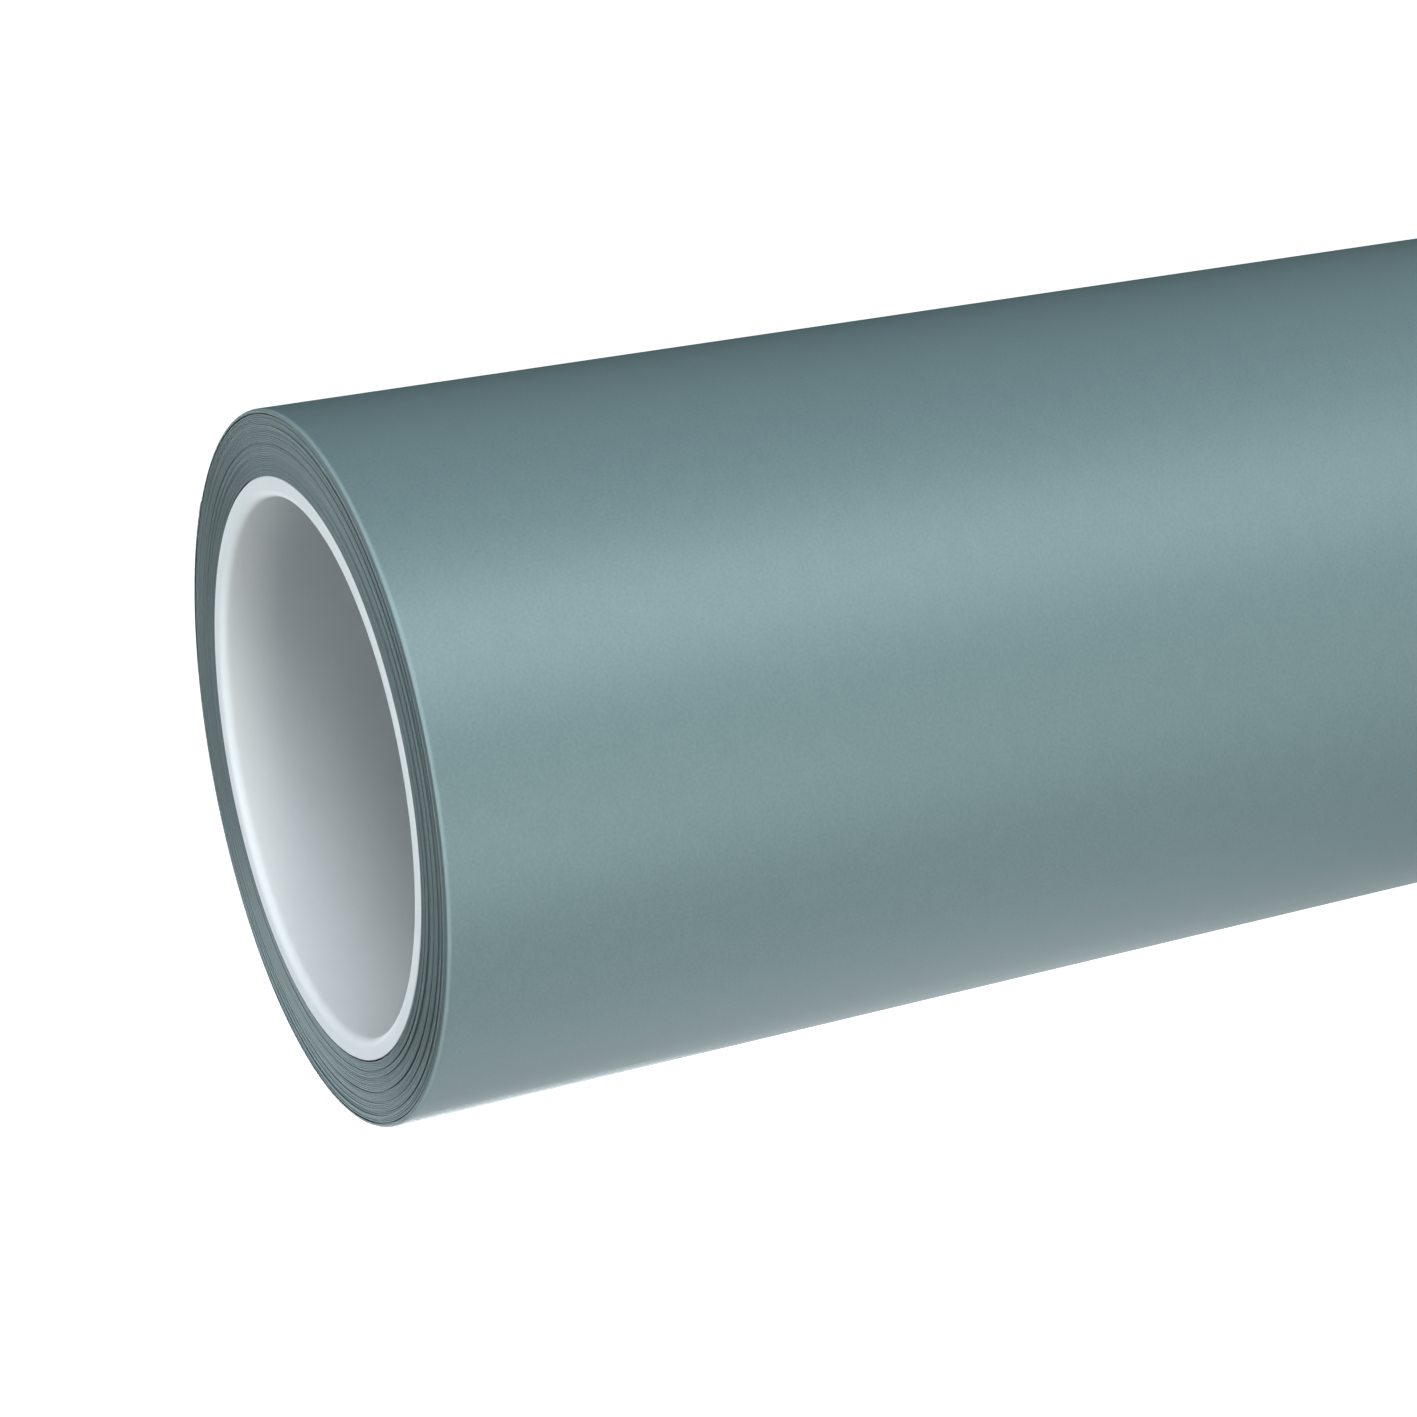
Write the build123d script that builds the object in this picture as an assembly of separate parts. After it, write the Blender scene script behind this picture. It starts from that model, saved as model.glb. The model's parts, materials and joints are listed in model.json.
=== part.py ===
from build123d import *
import os
from math import ceil, cos, pi, radians, sin

# A roll of backdrop sheet on a plastic core, in millimetres.
# X runs along the roll, Y away from the front, Z up. The origin is the middle of the core's bore.
# Angles turn about X: 0 is the back, 90 the top, 180 the front and 270 the bottom.

# Core and sheet
ROLL_LENGTH = 1350.0
CORE_BORE_R = 38.1
CORE_WALL = 3.1
CORE_MOUTH_ROUND = 1.4
CORE_EDGE_ROUND = 0.5
ROLL_R = 50.6
SHEET_T = 0.24

# Wound turns
END_DISH = 0.5
FLAT_RIM = 0.8

# Leading end of the outermost turn, as a row of hinged panels
LIFT_OFF_ANGLE = 180.0
PANEL_COUNT = 14
PANEL_ANGLE = 14.0
LAST_PANEL_ANGLE = 28.0
HINGE_GAP = 0.2
LAYER_CLEARANCE = 0.3

# Tapes
START_TAPE_T = 0.2
START_TAPE_WIDTH = 25.0
START_TAPE_INSET = 5.0
START_TAPE_ANGLE = 60.0
TAB_T = 0.14
TAB_LIFT = 0.02
TAB_ON_SHEET = 12.0
TAB_PAST_EDGE = 15.0
TAB_WIDTH = 48.0
TAB_INSET = 120.0

CORE_R = CORE_BORE_R + CORE_WALL
FREE_EDGE_ANGLE = LIFT_OFF_ANGLE + PANEL_ANGLE * (PANEL_COUNT - 1) + LAST_PANEL_ANGLE
UNDER_R = ROLL_R - SHEET_T - LAYER_CLEARANCE
FULL_TURN = 360.0
LARGEST_ARC = 14.0


def arc_degrees(length, radius):
    """Angle that an arc of this length takes up on a circle of this radius."""
    return length / (2 * pi * radius) * FULL_TURN


def on_circle(radius, angle):
    """Point of the cross-section at this radius and angle."""
    return (radius * cos(radians(angle)), radius * sin(radians(angle)))


def arc(radius, start, end):
    """Arc of the cross-section at this radius, between two angles."""
    return ThreePointArc(on_circle(radius, start), on_circle(radius, (start + end) / 2), on_circle(radius, end))


def ring_sector(inner_r, outer_r, start, end):
    """Face between two radii and two angles, with long arcs in several pieces."""
    count = ceil((end - start) / LARGEST_ARC)
    angles = [start + (end - start) * i / count for i in range(count + 1)]
    spans = list(zip(angles, angles[1:]))
    outline = [arc(radius, a, b) for radius in (inner_r, outer_r) for a, b in spans]
    outline += [Line(on_circle(inner_r, angle), on_circle(outer_r, angle)) for angle in (start, end)]
    return make_face(outline)


def along_roll(section, length=ROLL_LENGTH, middle=0.0):
    """Solid of this cross-section, centred at middle along the roll."""
    plane = Plane.YZ.offset(middle - length / 2)
    return extrude(plane * section, amount=length, clean=False)


def core_tube():
    """Thin tube, open right through, with rounded mouths."""
    tube = along_roll(Circle(CORE_R) - Circle(CORE_BORE_R))
    mouths = tube.edges().filter_by(GeomType.CIRCLE).filter_by(lambda edge: edge.radius < CORE_R)
    tube = fillet(mouths, CORE_MOUTH_ROUND)
    on_outside = tube.edges().filter_by(GeomType.CIRCLE).sort_by(lambda edge: edge.radius)[-2:]
    return fillet(on_outside, CORE_EDGE_ROUND)


def start_tape_section():
    """Cross-section of the tape between the core and the first turn."""
    end = START_TAPE_ANGLE + arc_degrees(START_TAPE_WIDTH, CORE_R)
    return ring_sector(CORE_R, CORE_R + START_TAPE_T, START_TAPE_ANGLE, end)


def wound_section():
    """Cross-section of the wound turns.

    From the free edge over the top to the lift-off line the outermost turn climbs by one sheet thickness.
    Under the panels the turn below lies one sheet and a clearance further in.
    """
    edge = FREE_EDGE_ANGLE - FULL_TURN
    climb = ThreePointArc(
        on_circle(ROLL_R - SHEET_T, edge),
        on_circle(ROLL_R - SHEET_T / 2, (edge + LIFT_OFF_ANGLE) / 2),
        on_circle(ROLL_R, LIFT_OFF_ANGLE),
    )
    under = arc(UNDER_R, LIFT_OFF_ANGLE, FREE_EDGE_ANGLE)
    outline = [climb, Line(climb @ 1, under @ 0), under, Line(under @ 1, climb @ 0)]
    return make_face(outline) - Circle(CORE_R) - start_tape_section()


def wound_sheet():
    """All the turns that stay on the roll, with ends that dish in slightly towards the core."""
    turns = along_roll(wound_section())
    dish = Cone(CORE_R, ROLL_R - FLAT_RIM, END_DISH, align=(Align.CENTER, Align.CENTER, Align.MAX))
    right_dish = Plane.YZ.offset(ROLL_LENGTH / 2) * dish
    return turns - right_dish - mirror(right_dish, Plane.YZ)


def hinge_angle(number):
    """Angle of the hinge line that a panel turns on, counted from 1."""
    return LIFT_OFF_ANGLE + PANEL_ANGLE * (number - 1)


def outer_panel(number):
    """One panel of the outermost turn, a full-width strip curved to the roll."""
    span = LAST_PANEL_ANGLE if number == PANEL_COUNT else PANEL_ANGLE
    half_gap = arc_degrees(HINGE_GAP / 2, ROLL_R)
    start = hinge_angle(number)
    end = start + span
    return along_roll(ring_sector(ROLL_R - SHEET_T, ROLL_R, start + half_gap, end - half_gap))


def closing_tab(middle):
    """Short tape over the free edge: one part on the last panel, the rest past the edge."""
    start = FREE_EDGE_ANGLE - arc_degrees(TAB_ON_SHEET, ROLL_R)
    end = FREE_EDGE_ANGLE + arc_degrees(TAB_PAST_EDGE, ROLL_R)
    inner_r = ROLL_R + TAB_LIFT
    return along_roll(ring_sector(inner_r, inner_r + TAB_T, start, end), TAB_WIDTH, middle)


def build_parts():
    """Every node's name and solid."""
    tab_reach = ROLL_LENGTH / 2 - TAB_INSET
    start_tape_length = ROLL_LENGTH - 2 * START_TAPE_INSET
    parts = {
        "core_tube": core_tube(),
        "start_tape": along_roll(start_tape_section(), start_tape_length),
        "wound_sheet": wound_sheet(),
        "closing_tab_left": closing_tab(-tab_reach),
        "closing_tab_middle": closing_tab(0.0),
        "closing_tab_right": closing_tab(tab_reach),
    }
    for number in range(1, PANEL_COUNT + 1):
        parts[f"outer_turn_panel_{number:02d}"] = outer_panel(number)
    return parts


os.makedirs("parts", exist_ok=True)
for name, solid in build_parts().items():
    export_step(solid, f"parts/{name}.step")
    print(name, round(solid.volume), "mm3")
for number in range(1, PANEL_COUNT + 1):
    y, z = on_circle(ROLL_R, hinge_angle(number))
    print(f"hinge line {number:02d}: y {y:.3f} z {z:.3f}")
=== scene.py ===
# %% [markdown]
# # A roll of satin backdrop sheet on a plastic core
# The roll lies along X. A photographer hangs it on a crossbar through its core and pulls the sheet down.
# The CAD model fixes every size and every joint, so we load it first and build the looks around it.
# Angles turn about X: 0 degrees is the back of the roll, 90 the top, 180 the front and 270 the bottom.

import json

import bpy
import numpy as np
from mathutils import Matrix, Vector


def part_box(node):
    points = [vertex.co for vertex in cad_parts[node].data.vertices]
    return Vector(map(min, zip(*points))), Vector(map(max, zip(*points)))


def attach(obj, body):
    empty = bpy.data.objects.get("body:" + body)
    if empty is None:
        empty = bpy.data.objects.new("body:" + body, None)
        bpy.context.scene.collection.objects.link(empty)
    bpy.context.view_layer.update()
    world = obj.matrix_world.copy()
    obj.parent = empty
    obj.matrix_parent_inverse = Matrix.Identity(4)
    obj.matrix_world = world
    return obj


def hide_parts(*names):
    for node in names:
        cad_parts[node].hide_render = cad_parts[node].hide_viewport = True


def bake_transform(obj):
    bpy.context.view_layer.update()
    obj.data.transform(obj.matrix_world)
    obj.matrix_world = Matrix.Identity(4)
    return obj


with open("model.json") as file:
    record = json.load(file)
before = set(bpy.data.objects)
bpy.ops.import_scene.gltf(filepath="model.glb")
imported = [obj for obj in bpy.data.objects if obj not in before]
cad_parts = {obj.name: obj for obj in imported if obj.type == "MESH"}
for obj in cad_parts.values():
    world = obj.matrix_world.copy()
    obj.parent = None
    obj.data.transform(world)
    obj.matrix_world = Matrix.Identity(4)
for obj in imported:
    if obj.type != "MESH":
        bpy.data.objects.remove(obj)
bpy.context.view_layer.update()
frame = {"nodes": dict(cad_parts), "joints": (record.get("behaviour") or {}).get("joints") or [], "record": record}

# %% [markdown]
# ## Sizes that come from the CAD model
# A node's box gives its radius and its length. The first hinge line lies on the sheet's outer face, so it
# gives the radius of the roll. Each panel's own box would be coarse, so the hinge lines also say where
# the panels meet.

# %% Sizes of the roll
MM = 0.001
hinge_points = [np.array(joint["pos_m"]) for joint in frame["joints"]]
hinge_angles = np.degrees(np.unwrap([np.arctan2(p[2], p[1]) % (2 * np.pi) for p in hinge_points]))
roll_r = np.hypot(hinge_points[0][1], hinge_points[0][2])
half_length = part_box("core_tube")[1].x
core_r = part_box("core_tube")[1].z
bore_r = frame["record"]["mounts"][0]["dims"]["r_mm"] * MM
lift_off = hinge_angles[0]
panel_angle = hinge_angles[1] - hinge_angles[0]
free_edge = hinge_angles[-1] + 2 * panel_angle
print("roll radius", roll_r, "core radius", core_r, "bore radius", bore_r)
print("lift-off at", lift_off, "free edge at", free_edge, "panels of", panel_angle, "degrees")

# %% [markdown]
# ## The camera
# The roll is seen from its left end, a little from above, with a long lens, and it runs out of the
# picture on the right. The camera is placed from the near end of the axis, in roll radiuses, so that it
# follows the CAD model if the roll's size ever changes.

# %% Camera
# Angles in degrees, the distance and the aim in roll radiuses, the lens in mm
VIEW_TURN = 25.98
VIEW_HEIGHT = 23.48
VIEW_DISTANCE = 9.442
AIM_RIGHT = 1.0909
AIM_UP = 0.1682
LENS = 87.52

turn, height = np.radians([VIEW_TURN, VIEW_HEIGHT])
right = np.array([np.cos(turn), -np.sin(turn), 0])
forward = np.array([np.sin(turn) * np.cos(height), np.cos(turn) * np.cos(height), -np.sin(height)])
up = np.cross(right, forward)
near_end = np.array([-half_length, 0, 0])
aim = near_end + roll_r * (AIM_RIGHT * right + AIM_UP * up)
eye = aim - VIEW_DISTANCE * roll_r * forward

camera = bpy.data.objects.new("camera", bpy.data.cameras.new("camera"))
bpy.context.scene.collection.objects.link(camera)
camera.data.lens = LENS
camera.data.clip_start = 0.01
axes = Matrix([right, up, -forward]).transposed()
camera.matrix_world = Matrix.Translation(Vector(eye)) @ axes.to_4x4()
bpy.context.scene.camera = camera
print("camera at", eye.round(4))

# %% [markdown]
# ## From arrays to a mesh
# Every piece here is a profile carried along a path, so one helper serves them all. The points come as
# an array with one row for each stop along the path and one column for each point of the closed profile.
# The helper joins neighbours into four-sided faces, caps the ends or joins them into a ring, and makes
# sure that the faces point outwards by the sign of the volume they enclose.

# %% Mesh helper
SHARP_EDGE = 40


def surface(name, points, ring=False, cut=()):
    """Closed mesh of profile points[stop, place]: a face joins (i, j), (i+1, j), (i+1, j+1), (i, j+1).

    The faces that follow the places in cut, and the caps, get the second material: they are cut edges.
    """
    stops, places = points.shape[:2]
    number = np.arange(stops * places).reshape(stops, places)
    following = np.roll(number, -1, axis=0)
    if not ring:
        number, following = number[:-1], following[:-1]
    faces = [number, following, np.roll(following, -1, axis=1), np.roll(number, -1, axis=1)]
    faces = np.stack(faces, axis=-1).reshape(-1, 4)
    flat = points.reshape(-1, 3)
    a, b, c, d = (flat[faces[:, k]] for k in range(4))
    volume = np.sum(np.cross(a, b) * c) + np.sum(np.cross(a, c) * d)
    if volume < 0:
        faces = faces[:, ::-1]
    faces = faces.tolist()
    if not ring:
        first = list(range(places))
        last = list(range((stops - 1) * places, stops * places))
        edge = {tuple(faces[0][k:k + 2]) for k in range(3)} | {(faces[0][3], faces[0][0])}
        first, last = (first[::-1], last) if (0, 1) in edge else (first, last[::-1])
        faces += [first, last]
    mesh = bpy.data.meshes.new(name)
    mesh.from_pydata(flat.tolist(), [], faces)
    mesh.polygons.foreach_set("use_smooth", np.ones(len(mesh.polygons), bool))
    mesh.set_sharp_from_angle(angle=np.radians(SHARP_EDGE))
    is_cut = np.ones(len(mesh.polygons), np.int32)
    is_cut[:number.size] = np.isin(np.arange(number.size) % places, cut)
    mesh.polygons.foreach_set("material_index", is_cut if len(cut) else is_cut * 0)
    piece = bpy.data.objects.new(name, mesh)
    bpy.context.scene.collection.objects.link(piece)
    triangles = sum(len(face) - 2 for face in faces)
    print(name, len(flat), "points", triangles, "triangles")
    return piece


def on_roll(x, radius, angle):
    """Points at x along the roll, at this radius and this angle about its axis."""
    x, radius, angle = np.broadcast_arrays(x, radius, np.radians(angle))
    return np.stack([x, radius * np.cos(angle), radius * np.sin(angle)], axis=-1)


# %% [markdown]
# ## The core tube
# The core is an extruded tube of soft white plastic, open right through, with its mouths rounded over
# where the crossbar slides in. A lathe shape suits it: one closed profile in length and radius, turned
# about X. The rounds are arcs, and a point just past each one keeps the long faces' shading flat.

# %% Core tube
MOUTH_ROUND = 1.4 * MM
OUTSIDE_ROUND = 0.2 * MM
CORE_STEPS = 256
ROUND_POINTS = 9
PAST_ROUND = 0.6 * MM


def quarter(middle_x, middle_r, radius, start, end):
    """Arc of the profile round a middle, from one angle to another, as rows of (x, r)."""
    angle = np.radians(np.linspace(start, end, ROUND_POINTS))
    return np.stack([middle_x + radius * np.cos(angle), middle_r + radius * np.sin(angle)], axis=-1)


mouth = quarter(half_length - MOUTH_ROUND, bore_r + MOUTH_ROUND, MOUTH_ROUND, 270, 360)
outside = quarter(half_length - OUTSIDE_ROUND, core_r - OUTSIDE_ROUND, OUTSIDE_ROUND, 0, 90)
inner_wall = [[half_length - MOUTH_ROUND - PAST_ROUND, bore_r]]
outer_wall = [[half_length - OUTSIDE_ROUND - PAST_ROUND, core_r]]
right_half = np.concatenate([inner_wall, mouth, outside, outer_wall])
core_profile = np.concatenate([right_half, (right_half * [-1, 1])[::-1]])
around = np.linspace(0, 360, CORE_STEPS, endpoint=False)[:, None]
core = surface("core_tube_turned", on_roll(core_profile[:, 0], core_profile[:, 1], around), ring=True)
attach(core, "roll")
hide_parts("core_tube")

# %% [markdown]
# ## How the sheet winds
# The sheet is one strip wound some 38 times round the core. We follow it with a single angle that grows
# outwards to the free edge. Its outer radius stays the same along the leading end, which lies round
# the front and the bottom. Over the top the outermost turn climbs by one layer, and every turn below
# repeats that shape one layer further in. The innermost turn stands off the core by the start tape.

# %% Radius of the sheet along its length
SHEET_T = 0.232 * MM
TAPE_T = 0.22 * MM
TURNS = 38
layer = (roll_r - core_r - TAPE_T - SHEET_T) / (TURNS - 1)


def smooth_step(t):
    """Rises from 0 to 1 as t does, with level ends."""
    t = np.clip(t, 0, 1)
    return t * t * (3 - 2 * t)


def sheet_radius(angle):
    """Outer radius of the sheet at an angle of its winding: one layer less for each full turn inwards."""
    behind_edge = free_edge - 360
    below = np.ceil((behind_edge - angle) / 360)
    place = angle + 360 * below - behind_edge
    climb = smooth_step(place / (lift_off - behind_edge)) - 1
    return roll_r + layer * (climb - below)


def depth_in_turns(angle):
    """Number of turns from the free edge inwards to this angle of the winding."""
    return (free_edge - angle) / 360


first_turn_r = sheet_radius(free_edge - 360 * (TURNS - 1))
print("layer pitch", layer / MM, "mm; first turn's outer radius", first_turn_r / MM, "mm")

# %% [markdown]
# ## The ends of the winding
# No roll is wound dead straight. The sheet wanders sideways by a fraction of a millimetre, so the ends
# show groups of turns that stand out or lie back: light ridges and dark grooves. The wander is a list
# of groups, joined by short slips, with a slow wave round each turn on top. The ends also dish in
# towards the core, and the turns just under the outermost one are tucked in behind its rim.

# %% Wander and dish
# Each group from the outside inwards: its number of turns, and how many mm it lies from the mean
GROUPS = [
    (3.4, 0.00), (1.9, -0.10), (1.6, 0.12), (2.4, -0.22), (1.2, 0.10), (3.4, -0.10),
    (1.5, -0.28), (4.2, 0.03), (1.4, -0.24), (2.8, 0.06), (3.6, -0.08), (1.6, -0.22),
    (2.9, 0.04), (1.3, -0.20), (3.4, 0.02), (1.6, 0.04),
]
SLIP_TURNS = 0.5
END_DISH = 0.12 * MM
WAVE = 0.035 * MM
# Each wave: how many round a turn, how far it drifts from turn to turn in radians, and its share
WAVES = [(2, 1.7, 1.0), (5, 0.9, 0.6)]
WAVE_FROM = 1.0
WAVE_FADE = 1.5
# At the back, at 20 degrees, the turns lie more evenly: only this share of the groups' shifts is left
EVEN_SIDE = 20
EVEN_SHARE = 0.2
# How far the sheet is tucked in, and the share of it at each of these depths in turns
TUCKED_IN = 0.62 * MM
TUCK_AT = [2.0, 2.1, 2.2, 2.5, 2.9, 3.05]
TUCK_SHARE = [1, 0, 0, 1, 1, 0]

group_turns, group_shift = np.transpose(GROUPS)
group_ends = np.cumsum(group_turns)
group_starts = np.append(0, group_ends[:-1])
knots = np.stack([group_starts + SLIP_TURNS / 2, group_ends - SLIP_TURNS / 2], axis=-1).ravel()
knot_shift = np.repeat(group_shift, 2) * MM
print(len(GROUPS), "groups over", round(group_ends[-1], 1), "turns")


def wander(angle):
    """Sideways place of the sheet: the groups' shifts, less at the back, and the waves round each turn."""
    turns = depth_in_turns(angle)
    loose = EVEN_SHARE + (1 - EVEN_SHARE) * (1 - np.cos(np.radians(angle - EVEN_SIDE))) / 2
    wave = sum(share * np.sin(np.radians(angle * count) + turns * drift) for count, drift, share in WAVES)
    settled = smooth_step((turns - WAVE_FROM) / WAVE_FADE)
    return loose * np.interp(turns, knots, knot_shift) + WAVE * wave * settled


def dish(angle):
    """How far both ends lie inside the core's: evenly more towards the core, and tucked in by the rim."""
    inwards = np.clip((roll_r - sheet_radius(angle)) / (roll_r - core_r), 0, 1)
    tucked = np.interp(depth_in_turns(angle), TUCK_AT, TUCK_SHARE)
    return END_DISH * inwards + TUCKED_IN * tucked


# %% [markdown]
# ## Where a point lies on the sheet
# A pattern on the sheet has to follow it round the roll and off it, so it can't be laid out in space. Each
# strip of the sheet therefore stores an attribute on its points: the distance along the sheet, the place
# along the roll and the depth in turns. The materials' grain and marks read that.

# %% Strip of the sheet
def sheet_strip(name, x, radius, angles, cut):
    """Surface of an outline along these winding angles, with the attribute sheet_place on its points.

    It holds metres along the sheet, metres along the roll, and turns in from the free edge.
    """
    points = on_roll(x, radius, angles)
    piece = surface(name, points, cut=cut)
    along = np.radians(angles) * (core_r + roll_r) / 2
    place = np.stack(np.broadcast_arrays(along, points[..., 0], depth_in_turns(angles)), axis=-1)
    attribute = piece.data.attributes.new("sheet_place", "FLOAT_VECTOR", "POINT")
    attribute.data.foreach_set("vector", place.astype(np.float32).ravel())
    return piece


# %% [markdown]
# ## The inner turns
# The strip's cross-section is a thin closed outline: two long faces and, at each end, a cut edge with
# its corners taken off. Carried along the winding it gives the real grooves between the turns. Only
# the edges show, so eight points do for the outline.

# %% Inner turns
COLUMN_ANGLE = 2.25
TUCK_TURNS = 1.06
CORNER = 0.05 * MM
SHEET_START = 60


def narrow_strip(name, angles):
    """Sheet along these winding angles, with eight outline points: corners cut off at both edges."""
    angles = angles[:, None]
    radius = sheet_radius(angles)
    left = -half_length + dish(angles) - wander(angles)
    right_end = half_length - dish(angles) - wander(angles)
    outward = CORNER * np.array([1, 0, 0, 1])
    down = np.array([0, CORNER, SHEET_T - CORNER, SHEET_T])
    x = np.concatenate([left + outward, right_end - outward], axis=1)
    r = np.concatenate([radius - down, radius - down[::-1]], axis=1)
    return sheet_strip(name, x, r, angles, cut=(0, 1, 2, 4, 5, 6))


tuck = free_edge - 360 * TUCK_TURNS
start = SHEET_START - 360 * (TURNS - 1)
inner_angles = np.linspace(start, tuck, int((tuck - start) / COLUMN_ANGLE))
inner_turns = narrow_strip("sheet_inner_turns", inner_angles)
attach(inner_turns, "roll")
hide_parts("wound_sheet")
wound_length = np.radians(COLUMN_ANGLE) * sheet_radius(inner_angles).sum()
print("sheet wound inside:", round(wound_length, 2), "m")

# %% [markdown]
# ## The outermost turn
# At the outside the sheet's edges are pressed over the turns below, so each end finishes in a soft
# rolled rim that catches the light. The outline therefore gets more points: a quarter of an ellipse
# at each edge, and one point just past it that keeps the wide face flat.

# %% Outline of the outermost turn
RIM_WIDTH = 0.7 * MM
RIM_DROP = 0.34 * MM
RIM_POINTS = 7
FLAT_FROM = 1.25 * RIM_WIDTH

rim_turn = np.linspace(0, np.pi / 2, RIM_POINTS)
rim_in = np.append(RIM_WIDTH * (1 - np.cos(rim_turn)), FLAT_FROM)
rim_down = np.append(RIM_DROP * (1 - np.sin(rim_turn)), 0)


def rimmed_strip(name, angles, rim=1.0):
    """Sheet along these winding angles, its edges rolled over by rim times a quarter ellipse."""
    angles = angles[:, None]
    right_x = half_length - np.concatenate([rim_in[::-1], rim_in]) - TUCKED_IN * (1 - rim)
    right_fall = np.concatenate([rim_down[::-1], rim_down])
    right_depth = np.repeat([SHEET_T, 0], len(rim_in))
    x = np.concatenate([right_x, -right_x[..., ::-1]], axis=-1)
    fall = np.concatenate([right_fall, right_fall[::-1]])
    depth = np.concatenate([right_depth, right_depth[::-1]])
    cut_edges = (len(rim_in) - 1, 3 * len(rim_in) - 1)
    return sheet_strip(name, x, sheet_radius(angles) - rim * fall - depth, angles, cut_edges)


# %% [markdown]
# ## The part of the outermost turn that stays on the roll
# It starts under the free edge, tucked in and with no rolled rim yet, and ends just before the line where
# the sheet leaves the roll. There the first piece of the leading end takes over, a little before the
# hinge. The steps are fine, because the shading is seen all along the roll.

# %% Outermost turn that stays on the roll
FINE_ANGLE = 0.5
RIM_FADE = 14.4
ROOT_BEFORE = 0.506
half_panel = panel_angle / 2
root_angle = lift_off - ROOT_BEFORE * half_panel


def fine_angles(start, end):
    """Winding angles from start to end, about half a degree apart."""
    return np.linspace(start, end, int(round((end - start) / FINE_ANGLE)) + 1)


outer_angles = fine_angles(tuck, root_angle)
rolled = smooth_step((outer_angles - tuck) / RIM_FADE)[:, None]
outer_turn = rimmed_strip("sheet_outer_turn", outer_angles, rolled)
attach(outer_turn, "roll")

# %% [markdown]
# ## The leading end
# The free end of the sheet peels off the front of the roll and hangs down as it is unrolled. In the CAD
# model it is a row of stiff panels on hinges. Here it is one piece for each hinge, lying on the roll, with
# a reach given to either side of each hinge, but no piece is bent over its hinge. The first hinge turns
# half as far as the others, and the part behind it stays on the roll, so its reach is shorter.

# %% Leading end in pieces
# How far a bend would reach to either side of its hinge, in half panels; the pieces are not bent
BLEND_REACH = 2.8
ROOT_AFTER = 2.454
half_arc = roll_r * np.radians(half_panel)


def blend_over_hinge(piece, number, before, after):
    """Bakes a piece's transform; a bend over hinge number, from before to after in half panels, is worked out but
    not made.
    """
    angle = np.radians(hinge_angles[number])
    tangent = np.array([0, -np.sin(angle), np.cos(angle)]) * half_arc
    begin = hinge_points[number] + before * tangent
    end = hinge_points[number] + after * tangent
    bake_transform(piece)


leading = []
last_hinge = len(hinge_points) - 1
for number in range(len(hinge_points)):
    first = root_angle if number == 0 else hinge_angles[number] - half_panel
    last = free_edge if number == last_hinge else hinge_angles[number] + half_panel
    piece = rimmed_strip(f"sheet_leading_{number + 1:02d}", fine_angles(first, last))
    reach = (-ROOT_BEFORE, ROOT_AFTER) if number == 0 else (-BLEND_REACH, BLEND_REACH)
    blend_over_hinge(piece, number, *reach)
    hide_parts(f"outer_turn_panel_{number + 1:02d}")
    leading.append(piece)

# %% [markdown]
# ## The closing tabs
# Three short tapes hold the free edge down at the back of the roll. Each is stuck partly on the sheet
# and partly on the turn below, so it steps down over the sheet's edge. A tab is a thin plate bent
# round the roll. Its rows stand closer near its ends, where pulling the width in rounds the corners.

# %% Closing tabs
TAB_T = 0.14 * MM
TAB_LIFT = 0.02 * MM
TAB_BEVEL = TAB_T / 3
TAB_CORNER = 3.0 * MM
TAB_STEP = 1.2 * MM
TAB_ROWS = 65


def tab_plate(name, node):
    """Thin plate over the free edge: rows along the sheet, columns along the roll, corners rounded."""
    low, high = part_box(node)
    on_sheet = np.degrees(np.arctan2(low.z, high.y)) + 360
    past = np.degrees(np.arctan2(high.z, low.y)) + 360
    length = np.radians(past - on_sheet) * roll_r
    along = length * (1 - np.cos(np.linspace(0, np.pi, TAB_ROWS))) / 2
    angle = on_sheet + np.degrees(along / roll_r)
    from_end = np.minimum(along, length - along).clip(0, TAB_CORNER)
    pulled_in = TAB_CORNER - np.sqrt(np.maximum(TAB_CORNER ** 2 - (TAB_CORNER - from_end) ** 2, 0))
    under = sheet_radius(angle - 360)
    down = smooth_step((np.radians(angle - free_edge) * roll_r) / TAB_STEP)
    base = roll_r + (under - roll_r) * down + TAB_LIFT
    half_width = (high.x - low.x) / 2 - pulled_in
    middle = (high.x + low.x) / 2
    side = np.array([-1, -1, 1, 1])
    bevel = np.array([0, TAB_BEVEL, TAB_BEVEL, 0])
    x = middle + side * (half_width[:, None] - bevel)
    lift = np.array([0, TAB_T, TAB_T, 0])
    return surface(name, on_roll(x, base[:, None] + lift, angle[:, None]))


tabs = []
for place in ("left", "middle", "right"):
    tab = tab_plate(f"tab_{place}", f"closing_tab_{place}")
    blend_over_hinge(tab, last_hinge, -BLEND_REACH, BLEND_REACH)
    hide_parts(f"closing_tab_{place}")
    tabs.append(tab)

# %% [markdown]
# ## Shader maths as plain expressions
# A node tree is easier to read as arithmetic. `Wire` holds one output socket, and its operators add Math
# nodes. `Finish` holds a material: `add` makes any node from its type, its settings and the values or
# wires for its sockets, and every other method is a short name for one kind of node.

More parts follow.
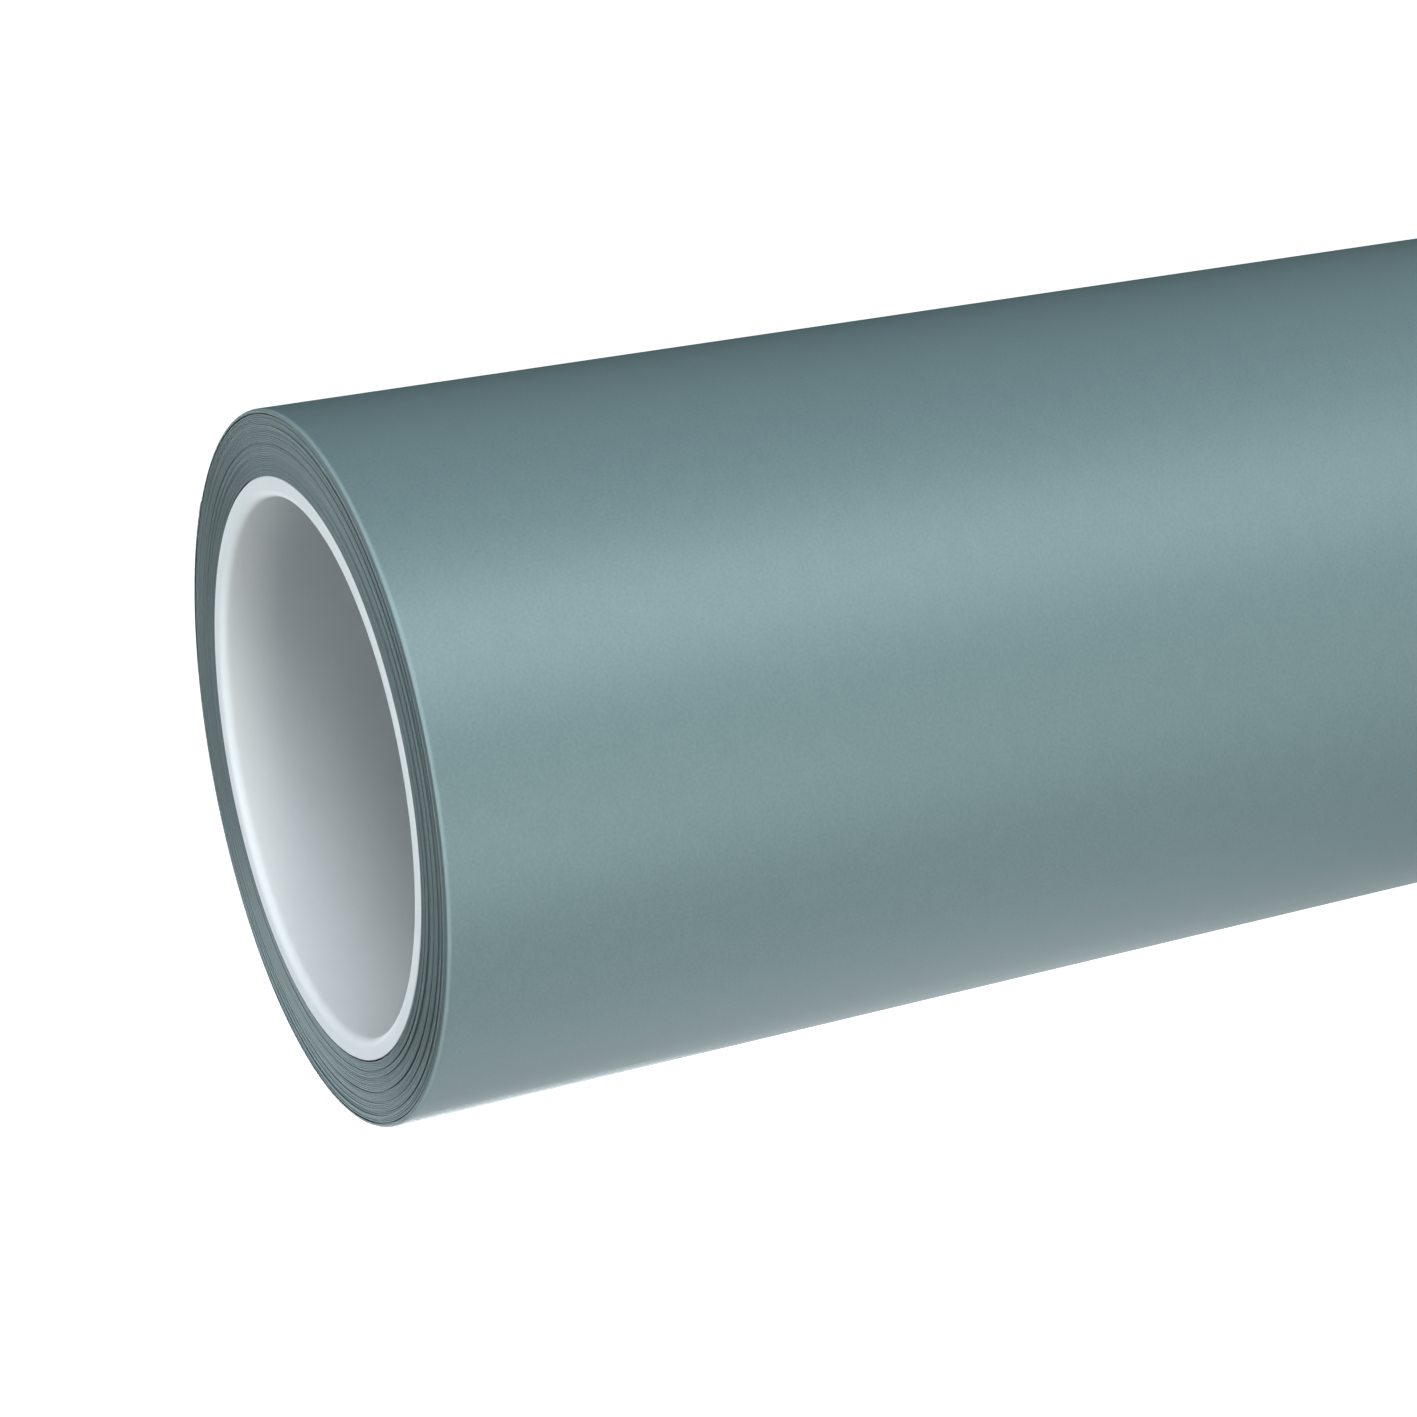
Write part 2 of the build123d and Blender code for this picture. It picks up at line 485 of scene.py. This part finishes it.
# %% Material helpers
class Wire:
    """One output of a material's nodes that can be used in sums and products."""

    def __init__(self, finish, socket):
        self.finish = finish
        self.socket = socket

    def __add__(self, other):
        return self.finish.math("ADD", self, other)

    __radd__ = __add__

    def __mul__(self, other):
        return self.finish.math("MULTIPLY", self, other)

    def band(self, low, high):
        """0 at low, 1 at high, smooth between them and level outside them."""
        sockets = {"Value": self, "From Min": low, "From Max": high}
        return self.finish.add("ShaderNodeMapRange", {"interpolation_type": "SMOOTHSTEP"}, sockets)


class Finish:
    """A material and its Principled shader. Constants go straight to the shader's own sockets."""

    def __init__(self, name, **constants):
        self.material = bpy.data.materials.new(name)
        self.material.use_nodes = True
        self.tree = self.material.node_tree
        self.shader = self.tree.nodes["Principled BSDF"]
        for socket, value in constants.items():
            self.shader.inputs[socket.replace("_", " ").title().replace("Ior", "IOR")].default_value = value

    def set(self, node, socket, value):
        """Links a wire to a node's socket, or writes a constant there."""
        if isinstance(value, Wire):
            self.tree.links.new(value.socket, node.inputs[socket])
        else:
            node.inputs[socket].default_value = value

    def add(self, kind, settings=None, sockets=None, output=0):
        """New node, as a wire from one of its outputs."""
        node = self.tree.nodes.new(kind)
        for name, value in (settings or {}).items():
            setattr(node, name, value)
        for socket, value in (sockets or {}).items():
            self.set(node, socket, value)
        return Wire(self, node.outputs[output])

    def math(self, operation, *values):
        return self.add("ShaderNodeMath", {"operation": operation}, dict(enumerate(values)))

    def mix(self, share, below, above):
        """Colour that goes from below to above with share."""
        colours = {0: share, 6: below, 7: above}
        return self.add("ShaderNodeMix", {"data_type": "RGBA"}, colours, output=2)

    def noise(self, place, scale, detail=2.0, roughness=0.5):
        sockets = {"Vector": place, "Scale": scale, "Detail": detail, "Roughness": roughness}
        return self.add("ShaderNodeTexNoise", sockets=sockets)

    def stretch(self, place, by):
        return self.add("ShaderNodeVectorMath", {"operation": "MULTIPLY"}, {0: place, 1: by})

    def bump(self, height, metres):
        return self.add("ShaderNodeBump", sockets={"Height": height, "Distance": metres, "Strength": 1.0})

    def finish(self, **surface_sockets):
        """Links the last wires to the shader, and gives the material."""
        for socket, wire in surface_sockets.items():
            self.set(self.shader, socket.replace("_", " ").title(), wire)
        print("material", self.material.name, len(self.tree.nodes), "nodes")
        return self.material


# %% [markdown]
# ## Satin sheet
# The sheet is a grey-blue satin: a broad soft highlight, a very fine grain, and slight clouding of the
# colour. The grain is noise on the sheet's own coordinates, fine for the texture you would feel and
# coarse for the clouding, and the same fine noise sets the relief and a little of the roughness. The rims
# are painted paler over their last 0.6 mm: partly wear, partly a painted highlight along the rolled rim.

# %% Satin sheet material
# A noise's scale is its number of features to a metre
GRAIN_SCALE = 2400
CLOUD_SCALE = 300
DRIFT_SCALE = 9
GRAIN_RELIEF = 0.015 * MM
RIM_PALING_WIDTH = 0.6 * MM
RIM_PALING_UNEVEN = 0.15 * MM
DEEP_TONE = (0.073, 0.110, 0.118, 1)
LIGHT_TONE = (0.088, 0.127, 0.134, 1)
# Paler rim colour: partly wear, partly a painted highlight along the rolled rim
RIM_WEAR_AND_HIGHLIGHT_TONE = (0.165, 0.222, 0.232, 1)

satin = Finish("satin_sheet_finish", specular_ior_level=0.33, specular_tint=(0.76, 0.97, 1.0, 1.0))
place = satin.add("ShaderNodeAttribute", {"attribute_name": "sheet_place"}, output=1)
flat_place = satin.stretch(place, (1, 1, 0))
grain = satin.noise(flat_place, GRAIN_SCALE, detail=3)
clouds = satin.noise(flat_place, CLOUD_SCALE, detail=3)
drift = satin.noise(flat_place, DRIFT_SCALE, detail=1)
tone = (grain * 0.7 + clouds * 0.2 + drift * 0.1).band(0.3, 0.7)
colour_inside_rims = satin.mix(tone, DEEP_TONE, LIGHT_TONE)
across = satin.add("ShaderNodeSeparateXYZ", sockets={0: place}, output="Y")
from_middle = satin.math("ABSOLUTE", across)
# Partly wear, partly a painted highlight: the last 0.6 mm at each end of the sheet is painted paler
rim_wear_and_highlight = (from_middle + clouds * RIM_PALING_UNEVEN).band(half_length - RIM_PALING_WIDTH, half_length)
face_colour = satin.mix(rim_wear_and_highlight, colour_inside_rims, RIM_WEAR_AND_HIGHLIGHT_TONE)
relief = satin.bump(grain, GRAIN_RELIEF)
satin_material = satin.finish(base_color=face_colour, roughness=0.39 + grain * 0.08, normal=relief)

# %% [markdown]
# ## Cut edges of the sheet
# Seen on its edge the sheet shows its dull core, cut by a blade. Each turn catches the light a little
# differently, so the tone follows the depth in turns, and a finer noise runs along each edge. The ends
# are painted paler at the top, and most of all at the bottom: this is painted light.

# %% Cut edge material
TURN_TO_TURN = (4, 0, 1.9)
ALONG_EDGE = (900, 0, 30)
EDGE_DARK = (0.095, 0.124, 0.126, 1)
EDGE_PALE = (0.180, 0.226, 0.229, 1)
# Painted light: the paler colour painted on the top and bottom of the ends
ENDS_PAINTED_LIGHT = (0.36, 0.43, 0.44, 1)
BURR = 0.03 * MM

cut = Finish("cut_edge_finish", specular_ior_level=0.3)
place = cut.add("ShaderNodeAttribute", {"attribute_name": "sheet_place"}, output=1)
turn_tone = cut.noise(cut.stretch(place, TURN_TO_TURN), 1.0, detail=3, roughness=0.7)
nicks = cut.noise(cut.stretch(place, ALONG_EDGE), 1.0, detail=2)
edge_tone = (turn_tone * 0.75 + nicks * 0.25).band(0.3, 0.7)
edge_before_painted_light = cut.mix(edge_tone, EDGE_DARK, EDGE_PALE)
spot = cut.add("ShaderNodeTexCoord", output="Object")
height = cut.add("ShaderNodeSeparateXYZ", sockets={0: spot}, output="Z")
# Painted light: the ends are painted paler towards the top and most of all towards the bottom
painted_light_low = height.band(-0.35 * roll_r, -roll_r)
painted_light_high = height.band(0.5 * roll_r, roll_r)
edge_colour = cut.mix(painted_light_low * 0.8 + painted_light_high * 0.4, edge_before_painted_light, ENDS_PAINTED_LIGHT)
burr = cut.bump(nicks, BURR)
cut_material = cut.finish(base_color=edge_colour, roughness=0.55 + nicks * 0.2, normal=burr)

# %% [markdown]
# ## Core plastic
# The core is a soft white plastic with a dull satin skin. Extrusion leaves it faint lines along the tube,
# and handling leaves its mouth slightly scuffed.

# %% Core plastic material
SKIN_SCALE = 1500
SCUFF_SCALE = 240
DRAWN_LINES = (6, 700, 700)
SCUFFED_WHITE = (0.79, 0.815, 0.825, 1)
CLEAN_WHITE = (0.85, 0.87, 0.88, 1)
SKIN_RELIEF = 0.02 * MM

plastic = Finish("core_plastic_finish", specular_ior_level=0.5)
spot = plastic.add("ShaderNodeTexCoord", output="Object")
skin = plastic.noise(spot, SKIN_SCALE, detail=3)
lines = plastic.noise(plastic.stretch(spot, DRAWN_LINES), 1.0, detail=2)
scuff = plastic.noise(spot, SCUFF_SCALE, detail=4)
white = plastic.mix(skin * 0.4 + scuff * 0.6, SCUFFED_WHITE, CLEAN_WHITE)
skin_relief = plastic.bump(skin * 0.5 + lines * 0.5, SKIN_RELIEF)
plastic_material = plastic.finish(base_color=white, roughness=0.50 + scuff * 0.12, normal=skin_relief)

# %% [markdown]
# ## Tapes
# The closing tabs are a pale crepe tape with fine wrinkles across it. The start tape is a thin, slightly
# yellow double-sided tape, mottled by the glue in it.

# %% Closing tape material
WRINKLES = (260, 1900, 1900)
FIBRE_SCALE = 900
WRINKLE_RELIEF = 0.05 * MM
CREPE_SHADE = (0.36, 0.36, 0.335, 1)
CREPE_LIGHT = (0.46, 0.46, 0.43, 1)

crepe = Finish("closing_tape_finish", specular_ior_level=0.45)
spot = crepe.add("ShaderNodeTexCoord", output="Object")
wrinkle = crepe.noise(crepe.stretch(spot, WRINKLES), 1.0, detail=3)
fibre = crepe.noise(spot, FIBRE_SCALE, detail=3)
pale = crepe.mix(fibre * 0.6 + wrinkle * 0.4, CREPE_SHADE, CREPE_LIGHT)
crepe_relief = crepe.bump(wrinkle, WRINKLE_RELIEF)
tape_material = crepe.finish(base_color=pale, roughness=0.48 + fibre * 0.12, normal=crepe_relief)

# %% Start tape material
BLOTCH_SCALE = 320
BUBBLE_SCALE = 1400
BUBBLE_RELIEF = 0.04 * MM
GLUE_DARK = (0.62, 0.55, 0.36, 1)
GLUE_PALE = (0.78, 0.72, 0.54, 1)

glue = Finish("start_tape_finish", specular_ior_level=0.5)
spot = glue.add("ShaderNodeTexCoord", output="Object")
blotch = glue.noise(spot, BLOTCH_SCALE, detail=4)
bubble = glue.noise(spot, BUBBLE_SCALE, detail=2)
amber = glue.mix(blotch.band(0.35, 0.65), GLUE_DARK, GLUE_PALE)
glue_relief = glue.bump(bubble, BUBBLE_RELIEF)
glue_material = glue.finish(base_color=amber, roughness=0.25 + blotch * 0.2, normal=glue_relief)

# %% [markdown]
# ## Which piece gets which material
# The strips of the sheet have two materials, one for their faces and one for their cut edges, and their
# faces already say which. The start tape keeps its CAD shape, so only its material changes.

# %% Paint the pieces
def paint(piece, *materials):
    """Gives a piece its material, and the one of its cut edges if it has any."""
    for material in materials:
        piece.data.materials.append(material)


for piece in [inner_turns, outer_turn, *leading]:
    paint(piece, satin_material, cut_material)
for piece in tabs:
    paint(piece, tape_material)
paint(core, plastic_material)
frame["nodes"]["start_tape"].material_slots[0].material = glue_material

# %% [markdown]
# ## Studio
# The roll hangs well above a large white floor, as on a crossbar, in a white room. Only the camera sees
# the floor and the room: the light on the roll comes from soft lamps, plain squares of light that face
# it and that don't show.

# %% Floor
FLOOR_DROP = 1.6
FLOOR_REACH = 40.0

corners = np.array([[-1, -1], [1, -1], [1, 1], [-1, 1]]) * FLOOR_REACH
floor_mesh = bpy.data.meshes.new("floor")
floor_mesh.from_pydata(np.insert(corners, 2, -FLOOR_DROP, axis=1).tolist(), [], [[0, 1, 2, 3]])
floor = bpy.data.objects.new("floor", floor_mesh)
bpy.context.scene.collection.objects.link(floor)
floor_paint = Finish("floor_paint", roughness=0.9, emission_strength=1.0, emission_color=(1, 1, 1, 1))
spot = floor_paint.add("ShaderNodeTexCoord", output="Object")
speckle = floor_paint.noise(spot, 3.0, detail=2)
floor_colour = floor_paint.mix(speckle, (0.80, 0.80, 0.80, 1), (0.84, 0.84, 0.84, 1))
paint(floor, floor_paint.finish(base_color=floor_colour))
floor.visible_diffuse = False
floor.visible_glossy = False

# %% [markdown]
# ## Lamps
# Five lamps stand round the roll from above to below, for the slow change of tone over its front. Two on
# the right draw the long sheen, and the others reach the ends and the back. The lamp in front is warmer
# than the ones above and below it, so the roll's top looks a little bluer than its front.

# %% Lamps
# Each lamp: degrees left of the front, degrees up, metres away, watts, colour
WHITE = (1.0, 1.0, 1.0)
COOL = (0.9, 0.97, 1.0)
WARM = (1.0, 0.95, 0.85)
LAMPS = {
    "overhead": (20, 60, 2.2, 50, COOL),
    "high": (20, 42, 2.2, 10, COOL),
    "front": (0, -8, 2.2, 40, WARM),
    "low": (20, -22, 1.6, 5, COOL),
    "below": (0, -75, 1.3, 12, COOL),
    "sheen": (-20, 48, 2.2, 30, WHITE),
    "far_sheen": (-41, 53, 2.2, 10, WHITE),
    "end": (90, 6, 2.2, 25, COOL),
    "other_end": (-90, -8, 2.2, 10, COOL),
    "behind": (178, -30, 2.2, 45, COOL),
    "behind_low": (-147, -43, 1.6, 5, COOL),
    "behind_floor": (180, -60, 1.5, 4, COOL),
}
LAMP_SIZE = 1.3
LAMP_AIM = Vector([-0.3, 0, 0])


def lamp(name, left, height, distance, power, colour):
    """Square lamp that faces the roll's near part from an angle left of the front and an angle up."""
    side, rise = np.radians([left, height])
    direction = np.array([-np.sin(side) * np.cos(rise), -np.cos(side) * np.cos(rise), np.sin(rise)])
    data = bpy.data.lights.new(name, "AREA")
    data.shape = "SQUARE"
    data.size = LAMP_SIZE
    data.energy = power
    data.color = colour
    made = bpy.data.objects.new(name, data)
    bpy.context.scene.collection.objects.link(made)
    made.location = LAMP_AIM + Vector(direction * distance)
    made.rotation_euler = Vector(direction).to_track_quat("Z", "Y").to_euler()
    made.visible_camera = False


for name, settings in LAMPS.items():
    lamp(name, *settings)
print(len(LAMPS), "lamps")

# %% [markdown]
# ## The white room
# The room is white to the camera and gives no light of its own. The Standard view transform shows a
# colour of 1 as pure white, so the floor and the room have no edge between them.

# %% White room
world = bpy.data.worlds.new("studio")
bpy.context.scene.world = world
world.use_nodes = True
world.node_tree.nodes["Background"].inputs["Color"].default_value = (1, 1, 1, 1)
world.cycles_visibility.diffuse = False
world.cycles_visibility.glossy = False
bpy.context.scene.view_settings.view_transform = "Standard"
